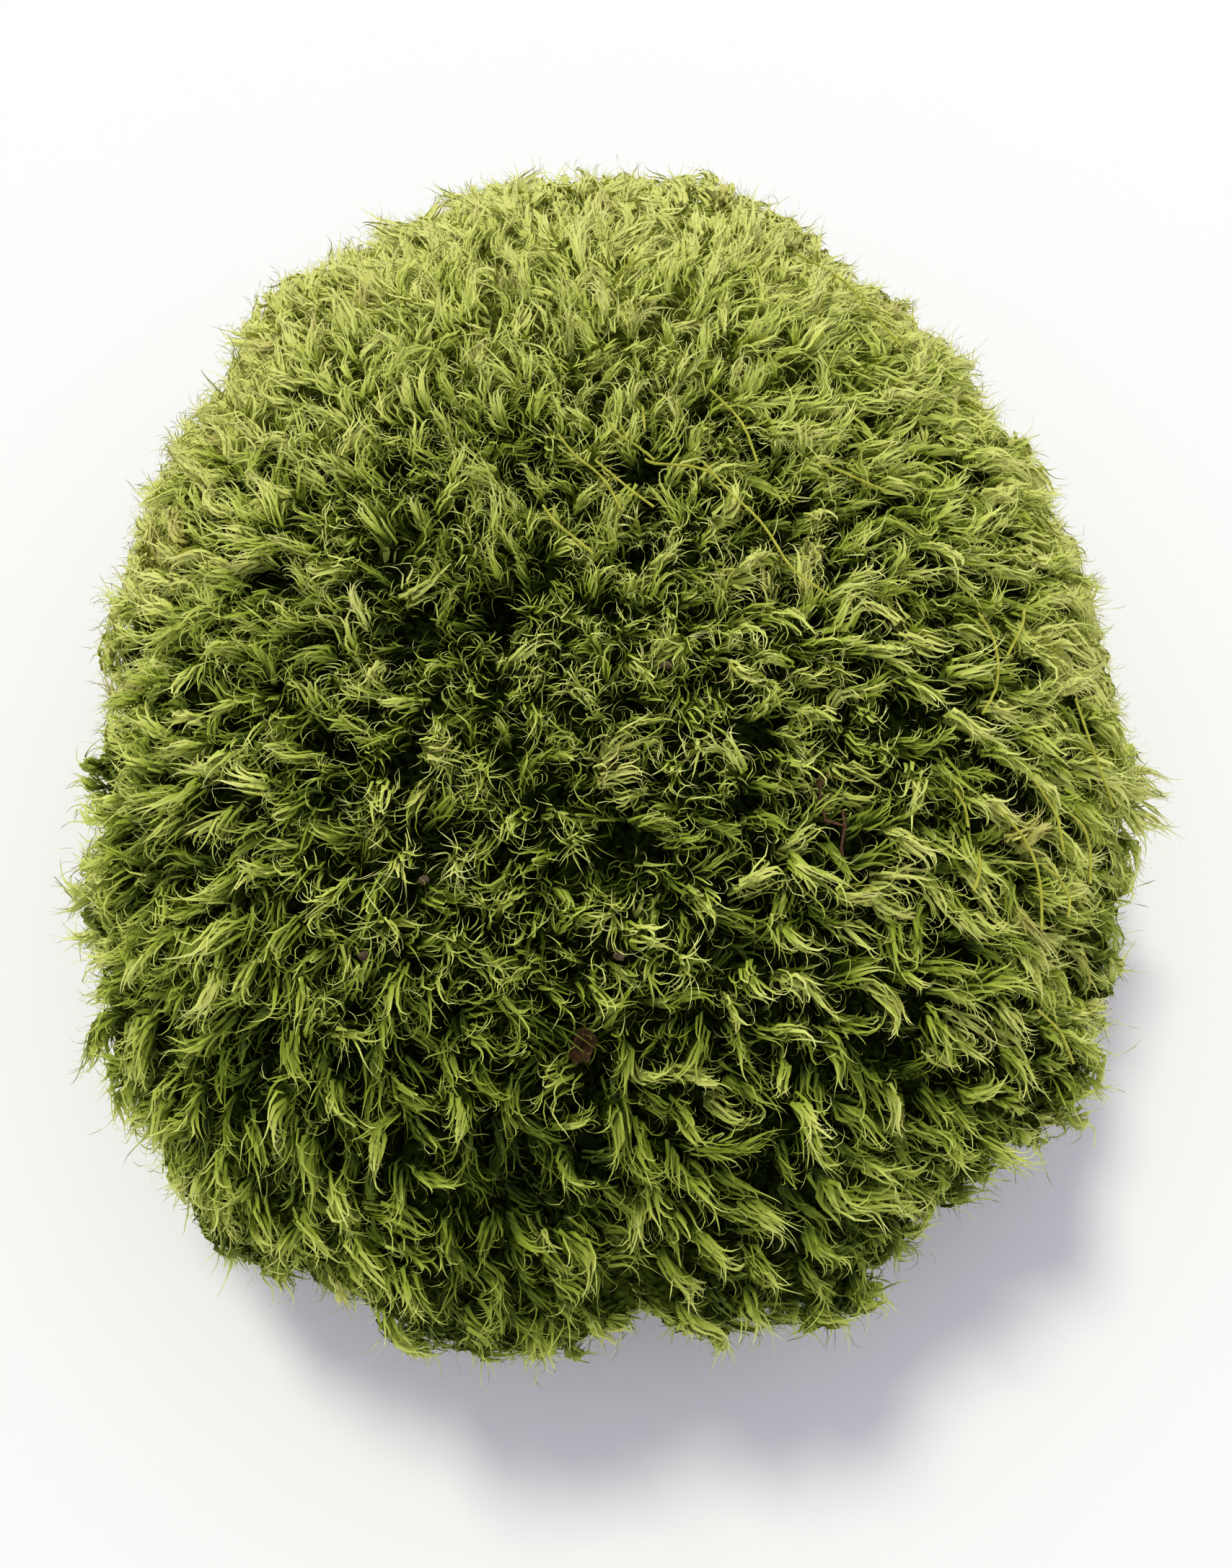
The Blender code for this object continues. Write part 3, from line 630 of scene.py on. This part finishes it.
    # Their widths, and how they are shaded
    own, around, outward, radial = frame_at(steps)
    face = (FACE * rng.normal(size=leaves))[:, None]
    face = face + (FACE_TWIST * rng.normal(size=leaves))[:, None] * steps
    wide = around * np.cos(face)[..., None] + outward * np.sin(face)[..., None]
    wide = unit(wide - own * (wide * own).sum(axis=-1, keepdims=True))
    half = 0.5 * widths[layer][lock] * (WIDTH_LEAST + WIDTH_MORE * rng.random(leaves))
    half = half * np.where(stray, WIDTH_STRAY, 1.0)
    half *= 1 - WIDTH_WILD * wild[lock]
    flat = unit(np.cross(wide, own))
    faces_out = (LOCK_FACES_OUT + LOCK_FACES_OUT_SOFT * soft)[:, None, None]
    body = unit(radial + faces_out * normal[lock][:, None])
    facing = (flat * body).sum(axis=-1)
    turned_over = np.where(facing.sum(axis=1) < 0, -1.0, 1.0)[:, None]
    flat, wide = flat * turned_over[..., None], wide * turned_over[..., None]
    facing = facing * turned_over
    blend = (LOCK_SMOOTH + LOCK_SMOOTH_SOFT * soft)[:, None, None]
    toward = np.clip(EDGE_ON_GAIN * facing, -1, 1)[..., None]
    flat = unit((1 - blend) * flat + blend * body * toward)
    taper = np.interp(steps, TAPER_STEPS, TAPER_SHARES)
    wide = wide * half[:, None, None] * taper[None, :, None]

    path = press_under(path, laid)

    # Leaves that reach the ground lie along it
    ground = GROUND_GAP + GROUND_SPREAD * rng.random(leaves)[:, None]
    path[..., 2] = np.maximum(path[..., 2], ground)

    # Painted shade: leaves are darker towards their feet, and where they lie deep
    crest = head[lock] + normal[lock] * shoots["sunk"][chosen][lock, None]
    depth = ((crest[:, None] - path) * normal[lock][:, None]).sum(axis=-1)
    unshaded = np.clip(1 - depth / SHADE_DEPTH, 0, 1)
    ripeness_and_shade = np.clip(RIPE_AND_SHADE_STEP * steps[None] + DEPTH_SHADE_SHARE * unshaded, 0, 1)
    # Painted light: soft leaves are drawn towards an even bright level, with their painted shade
    # taken out
    ripeness_and_shade += (SOFT_LIGHT_LEVEL - ripeness_and_shade) * (SOFT_LIGHT_PULL * soft)[:, None]
    of_own = LEAF_TONE * rng.normal(size=leaves) - LEAF_TONE_ORDER * (1 - order)
    of_own = of_own + LEAF_TONE_STRAY * stray
    tone = shoots["tone"][chosen][lock] + of_own * (1 - LEAF_TONE_SOFT * soft)
    return path, wide, flat, np.clip(tone, LEAST_TONE, MOST_TONE), ripeness_and_shade


def add_object(name, mesh, material):
    mesh.materials.append(material)
    made = bpy.data.objects.new(name, mesh)
    bpy.context.collection.objects.link(made)
    return made


def at_corners(left, right, tip):
    """Values for the corners of every strip: left and right of each row, and then the tip."""
    leaves, rows = left.shape[:2]
    values = np.empty((leaves, 2 * rows + 1, *left.shape[2:]))
    values[:, 0:-1:2], values[:, 1:-1:2], values[:, -1] = left, right, tip
    return values


def ribbons(name, path, wide, flat, tone, ripeness_and_shade, material):
    """One mesh of leaf blades: each a strip of quads that ends in a point, shaded as its lock."""
    leaves, rows = path.shape[:2]
    each = 2 * (rows - 1) + 1
    points = at_corners(path[:, :-1] - wide[:, :-1], path[:, :-1] + wide[:, :-1], path[:, -1])
    triangles = []
    for a in range(0, 2 * (rows - 2), 2):
        triangles += [(a, a + 1, a + 3), (a, a + 3, a + 2)]
    a = 2 * (rows - 2)
    triangles.append((a, a + 1, a + 2))
    starts = (np.arange(leaves) * each)[:, None, None]
    faces = (np.array(triangles)[None] + starts).reshape(-1, 3)

    mesh = bpy.data.meshes.new(name)
    mesh.vertices.add(leaves * each)
    mesh.vertices.foreach_set("co", points.ravel().astype(np.float32))
    mesh.loops.add(faces.size)
    mesh.loops.foreach_set("vertex_index", faces.ravel().astype(np.int32))
    mesh.polygons.add(len(faces))
    mesh.polygons.foreach_set("loop_start", np.arange(0, faces.size, 3, dtype=np.int32))
    tones = np.repeat(tone[:, None], rows - 1, axis=1)
    across = at_corners(tones - TONE_BAND, tones + TONE_BAND, tone)
    up = MAP_FROM + MAP_SPAN * at_corners(ripeness_and_shade[:, :-1], ripeness_and_shade[:, :-1], ripeness_and_shade[:, -1])
    uv = np.stack([across, up], axis=-1).reshape(-1, 2)
    leaf_map = mesh.uv_layers.new(name="OFBake")
    leaf_map.data.foreach_set("uv", uv[faces.ravel()].ravel().astype(np.float32))
    mesh.update()
    mesh.shade_smooth()
    shading = at_corners(flat[:, :-1], flat[:, :-1], flat[:, -1]).astype(np.float32)
    mesh.normals_split_custom_set_from_vertices(shading.reshape(-1, 3))
    return add_object(name, mesh, material)


def node(tree, kind, **settings):
    made = tree.nodes.new(kind)
    for key, value in settings.items():
        setattr(made, key, value)
    return made


def colour_ramp(tree, stops):
    """A ramp node with (position, linear colour) stops."""
    ramp = node(tree, "ShaderNodeValToRGB")
    elements = ramp.color_ramp.elements
    while len(elements) < len(stops):
        elements.new(0.5)
    for element, (position, colour) in zip(elements, stops):
        element.position = position
        element.color = (*colour, 1.0)
    return ramp


def new_material(name, roughness, specular):
    material = bpy.data.materials.new(name)
    material.use_nodes = True
    tree = material.node_tree
    shader = tree.nodes["Principled BSDF"]
    shader.inputs["Roughness"].default_value = roughness
    shader.inputs["Specular IOR Level"].default_value = specular
    return material, tree, shader


def mix_by(tree, value, low, high, first, second):
    """The first colour where a value is low, easing over to the second where it is high."""
    towards = node(tree, "ShaderNodeMapRange", interpolation_type="SMOOTHSTEP")
    towards.inputs["From Min"].default_value = low
    towards.inputs["From Max"].default_value = high
    tree.links.new(value, towards.inputs["Value"])
    mixed = node(tree, "ShaderNodeMix", data_type="RGBA", blend_type="MIX")
    tree.links.new(towards.outputs["Result"], mixed.inputs["Factor"])
    tree.links.new(first, mixed.inputs["A"])
    tree.links.new(second, mixed.inputs["B"])
    return mixed.outputs["Result"]


def object_noise(tree, where, scale, detail):
    """Noise over the object's own coordinates."""
    noise = node(tree, "ShaderNodeTexNoise")
    noise.inputs["Scale"].default_value = scale
    noise.inputs["Detail"].default_value = detail
    tree.links.new(where.outputs["Object"], noise.inputs["Vector"])
    return noise.outputs["Fac"]


def add_bump(tree, shader, height, strength, distance):
    bump = node(tree, "ShaderNodeBump")
    bump.inputs["Strength"].default_value = strength
    bump.inputs["Distance"].default_value = distance
    tree.links.new(height, bump.inputs["Height"])
    tree.links.new(bump.outputs["Normal"], shader.inputs["Normal"])


def leaf_material():
    """Green that pales from foot to tip, darker at the foot and deep down as painted shade; across
    the map it goes from old leaves to dry ones, through the pale green that painted light gives the
    far end and the sides.
    """
    material, tree, shader = new_material("moss_leaf", 0.6, 0.08)
    uv = node(tree, "ShaderNodeUVMap", uv_map="OFBake")
    split = node(tree, "ShaderNodeSeparateXYZ")
    tree.links.new(uv.outputs["UV"], split.inputs["Vector"])
    old = colour_ramp(tree, (
        (0.0, (0.004, 0.007, 0.0005)), (0.28, (0.030, 0.052, 0.004)), (0.52, (0.145, 0.195, 0.017)),
        (0.76, (0.42, 0.485, 0.068)), (1.0, (0.66, 0.70, 0.19))))
    fresh = colour_ramp(tree, (
        (0.0, (0.008, 0.014, 0.001)), (0.28, (0.085, 0.130, 0.008)), (0.52, (0.34, 0.42, 0.040)),
        (0.76, (0.69, 0.745, 0.17)), (1.0, (0.86, 0.88, 0.37))))
    pale = colour_ramp(tree, (
        (0.0, (0.47, 0.52, 0.10)), (0.28, (0.61, 0.66, 0.14)), (0.52, (0.71, 0.745, 0.19)),
        (0.76, (0.74, 0.76, 0.24)), (1.0, (0.76, 0.765, 0.30))))
    dry = colour_ramp(tree, (
        (0.0, (0.040, 0.036, 0.004)), (0.28, (0.27, 0.26, 0.03)), (0.52, (0.46, 0.44, 0.10)),
        (0.76, (0.68, 0.63, 0.21)), (1.0, (0.80, 0.73, 0.36))))
    for ramp in (old, fresh, pale, dry):
        tree.links.new(split.outputs["Y"], ramp.inputs["Fac"])
    colour = old.outputs["Color"]
    for ramp, (low, high) in ((fresh, FRESH_OVER), (pale, PALE_OVER), (dry, DRY_OVER)):
        colour = mix_by(tree, split.outputs["X"], low, high, colour, ramp.outputs["Color"])
    tree.links.new(colour, shader.inputs["Base Color"])
    return material


def thatch_material():
    """Nearly black between the stems, partly painted shade; greener low down and paler towards the
    far end, painted light.
    """
    material, tree, shader = new_material("thatch", 1.0, 0.0)
    where = node(tree, "ShaderNodeTexCoord")
    noise = object_noise(tree, where, 1100.0, 4.0)
    near = colour_ramp(tree, ((0.38, (0.0012, 0.0022, 0.0004)), (0.75, (0.016, 0.026, 0.003))))
    rim = colour_ramp(tree, ((0.38, (0.005, 0.009, 0.001)), (0.70, (0.075, 0.105, 0.012))))
    far = colour_ramp(tree, ((0.34, (0.09, 0.11, 0.012)), (0.66, (0.45, 0.51, 0.065))))
    for ramp in (near, rim, far):
        tree.links.new(noise, ramp.inputs["Fac"])
    split = node(tree, "ShaderNodeSeparateXYZ")
    tree.links.new(where.outputs["Object"], split.inputs["Vector"])
    colour = near.outputs["Color"]
    for axis, (low, high), ramp in (("Z", CORE_GREEN_OVER, rim), ("Y", CORE_PALE_OVER, far)):
        colour = mix_by(tree, split.outputs[axis], low, high, colour, ramp.outputs["Color"])
    tree.links.new(colour, shader.inputs["Base Color"])
    add_bump(tree, shader, noise, 0.8, 0.0008)
    return material


def fibrous_material(name, dark, light, scale, roughness=0.9, specular=0.2):
    """Noise from dark to light over the object, with a fine bump."""
    material, tree, shader = new_material(name, roughness, specular)
    noise = object_noise(tree, node(tree, "ShaderNodeTexCoord"), scale, 5.0)
    ramp = colour_ramp(tree, ((0.3, dark), (0.7, light)))
    tree.links.new(noise, ramp.inputs["Fac"])
    tree.links.new(ramp.outputs["Color"], shader.inputs["Base Color"])
    add_bump(tree, shader, noise, 0.5, 0.0004)
    return material


def tone_locks(shoots, rng):
    """Gives each shoot how wild and how soft it is, how near the rim, and its tone, with painted
    light and painted shade in it.
    """
    heads = shoots["heads"]
    count = len(heads)

    # Near the crown the shoots are seen from their ends, and their leaves curl every way
    calm = np.ones(count)
    for turn, fall, radius, share in CURLY:
        calm *= 1 - share * near_place(heads, turn, fall, radius)
    wild = WILD + WILD_CURLY * (1 - calm)
    wild = np.clip(wild + WILD_SPREAD * rng.normal(size=count), 0.0, 1.0)

    # Painted light: paler towards the far end and the sides; darker towards the near end; with
    # patches
    far = np.clip((heads[:, 1] - CROWN[1]) / FAR_END, NEAREST, 1)
    rim = np.clip((shoots["fall"] - RIM_FROM) / RIM_OVER, 0, 1)
    tone = TONE
    for more, length, seed in TONE_PATCHES:
        tone = tone + more * patch_noise(heads, length, seed)
    paler_far = TONE_FAR * np.maximum(far, 0) ** TONE_FAR_POWER
    tone += np.where(far > 0, paler_far, TONE_NEAR * far)
    tone += TONE_RIM * rim * np.clip(TONE_RIM_LEAST + TONE_RIM_FAR * far, 0, 1)
    for turn, fall, radius, more in PALER:
        tone += more * near_place(heads, turn, fall, radius)
    soft_rim = SOFT_RIM * rim * np.clip(SOFT_RIM_LEAST + SOFT_RIM_FAR * far, 0, 1)
    soft = np.maximum(np.clip(far, 0, 1), soft_rim)
    sharper = (1 - LOCK_TONE_SOFT * soft) * (1 + LOCK_TONE_WILD * wild)
    tone += LOCK_TONE * rng.normal(size=count) * sharper
    tone += TONE_SHARP * (1 - soft)
    # Painted light: locks on tufts that stand out are paler
    tone += TONE_SPUR * np.clip(shoots["spur"] / FULL_SPUR, 0, 1)
    tone = np.minimum(tone, TONE_CAP)
    tone += TONE_OLD * ((rng.random(count) < OLD_LOCKS) & (shoots["spur"] < OLD_SPUR))
    # Painted shade: each layer down is darker
    tone -= TONE_LAYER * shoots["layer"]
    for turn, fall, radius in DRY_LOCKS:
        near = np.linalg.norm(heads - place(turn, fall)[0], axis=1) < radius
        tone = np.where(near, np.maximum(tone, TONE_DRY), tone)
    shoots.update(wild=wild, soft=soft, rim=rim, tone=tone)


def grow_moss(material):
    """All the leaves, as one piece for each sector of the clump."""
    shoots = grow_shoots()
    rng = np.random.default_rng(LEAF_SEED)
    tone_locks(shoots, rng)
    stalks = [solid for name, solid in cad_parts.items() if name.startswith("stalk")]
    laid = [points_along(stalk) for stalk in stalks]
    laid += [place(turn, fall)[0][None] + CRUMB_OFF for turn, fall, _ in CRUMBS]
    laid = np.concatenate(laid)
    tally = np.array([tally for _, _, _, tally, _, _ in LAYERS])[shoots["layer"]]
    by_turn = np.argsort(shoots["turn"])
    sector = np.empty(len(by_turn), dtype=int)
    sector[by_turn] = (np.cumsum(tally[by_turn]) - 1) * SECTORS // tally.sum()
    pieces = []
    for number in range(SECTORS):
        leaves = grow_leaves(shoots, np.nonzero(sector == number)[0], rng, laid)
        pieces.append(ribbons(f"leafy_shoots_{number + 1}", *leaves, material))
    return pieces


def thatch(material):
    """The dark mass of old stems and brown leaves under the shoots, its near-black partly painted
    shade, flat where it was cut.
    """
    turns, falls = CORE_TURNS, CORE_FALLS
    turn, fall = (grid.ravel() for grid in np.meshgrid(
        np.arange(turns) * 2 * math.pi / turns,
        np.linspace(CORE_TOP, foot_fall(), falls), indexing="ij"))
    surface, normals = bun(turn, fall), bun_normal(turn, fall)
    depth = CORE_DEPTH - lumps(surface) + bumps(surface, HOLLOWS) * CORE_HOLLOWS
    depth += sum(high * patch_noise(surface, length, seed) for high, length, seed in CORE_NOISES)
    under = np.clip((np.degrees(fall) - SIDE_FROM) / SIDE_OVER, 0, 1)
    foot_from = math.radians(FOOT_FROM)
    near_foot = np.clip((fall - foot_from) / (foot_fall() - foot_from), 0, 1)
    shallower = 1 - SIDE_SHALLOWER * under * under * (3 - 2 * under)
    depth *= shallower * (1 - FOOT_SHALLOWER * near_foot)
    points = surface - normals * depth[:, None]
    points[:, 2] = np.maximum(points[:, 2], 0.0)
    points[np.isclose(fall, foot_fall()), 2] = 0.0
    faces = []
    for i in range(turns):
        j = (i + 1) % turns
        for k in range(falls - 1):
            faces.append((i * falls + k, i * falls + k + 1, j * falls + k + 1, j * falls + k))
    faces.append([i * falls for i in range(turns)])
    faces.append([i * falls + falls - 1 for i in reversed(range(turns))])
    mesh = bpy.data.meshes.new("thatch")
    mesh.from_pydata([tuple(point) for point in points], [], faces)
    mesh.shade_smooth()
    mesh.set_sharp_from_angle(angle=math.radians(CORE_SHARP))
    return add_object("thatch", mesh, material)


def litter(material):
    """Crumbs of soil and bark between the shoots, as one piece."""
    rng = np.random.default_rng(LEAF_SEED)
    bm = bmesh.new()
    for turn, fall, radius in CRUMBS:
        spot, normal = place(turn, fall)
        height = (lumps(spot[None]) - bumps(spot[None], HOLLOWS))[0] - CRUMB_DEPTH
        made = bmesh.ops.create_icosphere(bm, subdivisions=2, radius=1.0)
        spread = rng.normal(size=(4, 3))
        for corner in made["verts"]:
            round_point = np.array(corner.co)
            uneven = 1 + CRUMB_UNEVEN * np.sin(CRUMB_WAVES * spread @ round_point).sum()
            corner.co = spot + normal * height + radius * uneven * round_point * CRUMB_SHAPE
    mesh = bpy.data.meshes.new("crumbs")
    bm.to_mesh(mesh)
    bm.free()
    return add_object("crumbs", mesh, material)


def studio():
    """A white floor that curves up all round, a soft sun from behind, and an even sky."""
    material, _, shader = new_material("floor", 0.9, 0.0)
    shader.inputs["Base Color"].default_value = FLOOR_COLOUR
    radii, heights = list(FLOOR_RADII), [0.0] * len(FLOOR_RADII)
    for angle in np.radians(FLOOR_ANGLES):
        radii.append(FLOOR_RADII[-1] + FLOOR_CURVE * math.sin(angle))
        heights.append(FLOOR_CURVE - FLOOR_CURVE * math.cos(angle))
    sides = FLOOR_SIDES
    points = [(0.0, 0.0, 0.0)]
    for radius, height in zip(radii[1:], heights[1:]):
        for side in range(sides):
            angle = 2 * math.pi * side / sides
            points.append((radius * math.cos(angle), radius * math.sin(angle), height))
    faces = [(0, 1 + side, 1 + (side + 1) % sides) for side in range(sides)]
    for ring in range(len(radii) - 2):
        for side in range(sides):
            a, b = 1 + ring * sides + side, 1 + ring * sides + (side + 1) % sides
            faces.append((a, a + sides, b + sides, b))
    mesh = bpy.data.meshes.new("floor")
    mesh.from_pydata(points, [], faces)
    mesh.shade_smooth()
    floor = add_object("floor", mesh, material)

    world = bpy.data.worlds.new("sky")
    bpy.context.scene.world = world
    world.use_nodes = True
    background = world.node_tree.nodes["Background"]
    background.inputs["Color"].default_value = SKY_COLOUR
    background.inputs["Strength"].default_value = SKY_STRENGTH

    sun = bpy.data.lights.new("sun", "SUN")
    sun.energy = SUN_STRENGTH
    sun.angle = math.radians(SUN_ANGLE)
    sun.color = SUN_COLOUR
    lamp = bpy.data.objects.new("sun", sun)
    lamp.rotation_euler = (math.radians(SUN_TILT), 0.0, math.radians(SUN_TURN))
    bpy.context.collection.objects.link(lamp)


def photo_camera():
    """The phone's camera, looking down on the blunt end."""
    camera = bpy.data.cameras.new("camera")
    camera.sensor_width = SENSOR_WIDTH
    camera.lens = SENSOR_WIDTH * FOCAL_PIXELS / PHOTO_HEIGHT
    camera.clip_start = 0.005
    camera.clip_end = 20.0
    made = bpy.data.objects.new("camera", camera)
    elevation = math.radians(CAMERA_ELEVATION)
    made.location = (
        CROWN[0] + CAMERA_SIDE,
        CROWN[1] - CAMERA_DISTANCE * math.cos(elevation),
        CAMERA_TARGET_HEIGHT + CAMERA_DISTANCE * math.sin(elevation))
    made.rotation_euler = (math.pi / 2 - elevation, 0.0, 0.0)
    bpy.context.collection.objects.link(made)
    bpy.context.scene.camera = made


def dress_nodes():
    """Better materials for the solids that stay as they are."""
    straw = fibrous_material("straw", (0.33, 0.33, 0.034), (0.56, 0.56, 0.085), 900, 0.5, 0.1)
    dead = fibrous_material(
        "dead_leaf", (0.006, 0.003, 0.0015), (0.105, 0.055, 0.024), 900, 0.9, 0.04)
    twig = fibrous_material("twig", (0.050, 0.020, 0.012), (0.17, 0.075, 0.040), 1500)
    for name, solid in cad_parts.items():
        chosen = straw if name.startswith("stalk") else dead if name == "dead_leaf" else twig
        if name != "moss_cushion":
            solid.data.materials.clear()
            solid.data.materials.append(chosen)


def main():
    bpy.context.scene.view_settings.view_transform = "Standard"
    pieces = grow_moss(leaf_material())
    pieces.append(thatch(thatch_material()))
    for piece in pieces:
        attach(piece, "root")
        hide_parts("moss_cushion")
    crumbs = litter(fibrous_material("litter", (0.040, 0.024, 0.015), (0.16, 0.108, 0.070), 1300))
    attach(crumbs, "root")
    dress_nodes()
    studio()
    photo_camera()


main()
